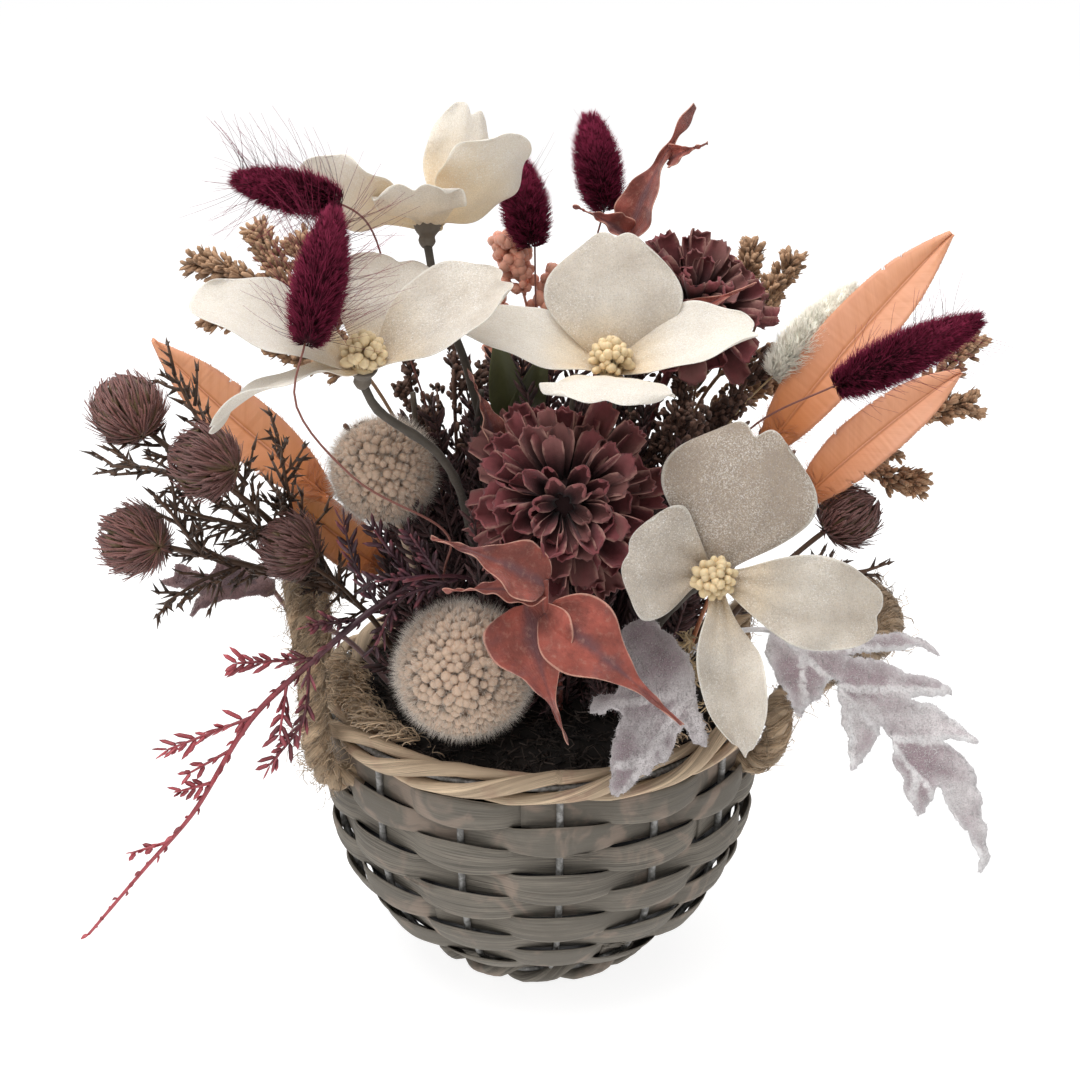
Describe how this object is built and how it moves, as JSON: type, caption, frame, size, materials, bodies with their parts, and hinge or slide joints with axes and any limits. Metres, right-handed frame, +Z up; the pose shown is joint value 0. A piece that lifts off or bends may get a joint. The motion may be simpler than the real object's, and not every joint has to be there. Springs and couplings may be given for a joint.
{
  "type": "flower basket arrangement",
  "caption": "Round splint basket on a wire frame with rope handles, filled with white flowers, mums, globe heads, plumes, feathers, felted leaves and trailing sprigs.",
  "frame": {"origin": "centre of the base board's underside, on the table", "axes": "+Z up; -Y is the front, the side that the picture shows; +X to the right seen from the front"},
  "size_m": [0.3343, 0.1995, 0.3451],
  "materials": {
    "splint": "flat grey-brown split willow, dry and matt",
    "willow": "peeled light brown willow rods, satin",
    "wire": "dull galvanised wire",
    "board": "plain pale board, matt",
    "jute": "hairy laid jute rope",
    "foam": "dark dry floral foam",
    "moss": "dark dried moss",
    "cream_petal": "cream velvet with a fine sparkle",
    "stamen": "pale yellow beads",
    "bark": "dark brown stem",
    "mauve_petal": "dusty dark mauve cloth",
    "globe": "beige florets under fine pale fuzz",
    "burgundy_plume": "dyed soft plume",
    "white_plume": "bleached soft plume",
    "peach_feather": "dyed peach feather",
    "felted_leaf": "grey-mauve felt",
    "rust_leaf": "rust-red cloth leaf with a paler edge",
    "thistle": "dark brown-red bristles",
    "red_sprig": "dusty red moulded sprig",
    "seed": "dry brown seed heads",
    "bud": "salmon pink buds",
    "green_leaf": "dark olive leaf"
  },
  "bodies": {
    "root": {"base_board": "board", "bud_spray": "bud", "chrysanthemum_back": "mauve_petal", "chrysanthemum_front": "mauve_petal", "feather_left": "peach_feather", "feather_left_low": "peach_feather", "feather_right_back": "peach_feather", "feather_right_front": "peach_feather", "felted_leaf_front": "felted_leaf", "felted_leaf_left": "felted_leaf", "felted_leaf_right": "felted_leaf", "floral_foam": "foam", "foot_border_1": "willow", "foot_border_2": "willow", "globe_head_lower": "globe", "globe_head_upper": "globe", "green_leaves": "green_leaf", "moss": "moss", "plume_arched": "burgundy_plume", "plume_back": "burgundy_plume", "plume_centre": "burgundy_plume", "plume_left": "burgundy_plume", "plume_right": "burgundy_plume", "plume_white": "white_plume", "red_sprig_short": "red_sprig", "red_sprig_trailing": "red_sprig", "rim_border": "willow", "rope_handle_left": "jute", "rope_handle_right": "jute", "rust_leaf_sprig_front": "rust_leaf", "rust_leaf_sprig_top": "rust_leaf", "seed_spray_back": "seed", "seed_spray_left": "seed", "seed_spray_right": "seed", "thistle_spray_left": "thistle", "thistle_spray_right": "thistle", "weave_row_1": "splint", "weave_row_2": "splint", "weave_row_3": "splint", "weave_row_4": "splint", "weave_row_5": "splint", "weave_row_6": "splint", "weave_row_7": "splint", "weave_row_8": "splint", "weave_row_9": "splint", "white_flower_1": "cream_petal", "white_flower_2": "cream_petal", "white_flower_3": "cream_petal", "white_flower_4": "cream_petal", "white_flower_stamens_1": "stamen", "white_flower_stamens_2": "stamen", "white_flower_stamens_3": "stamen", "white_flower_stamens_4": "stamen", "white_flower_stem_1": "bark", "white_flower_stem_2": "bark", "white_flower_stem_3": "bark", "white_flower_stem_4": "bark", "wire_frame": "wire"}
  },
  "joints": []
}
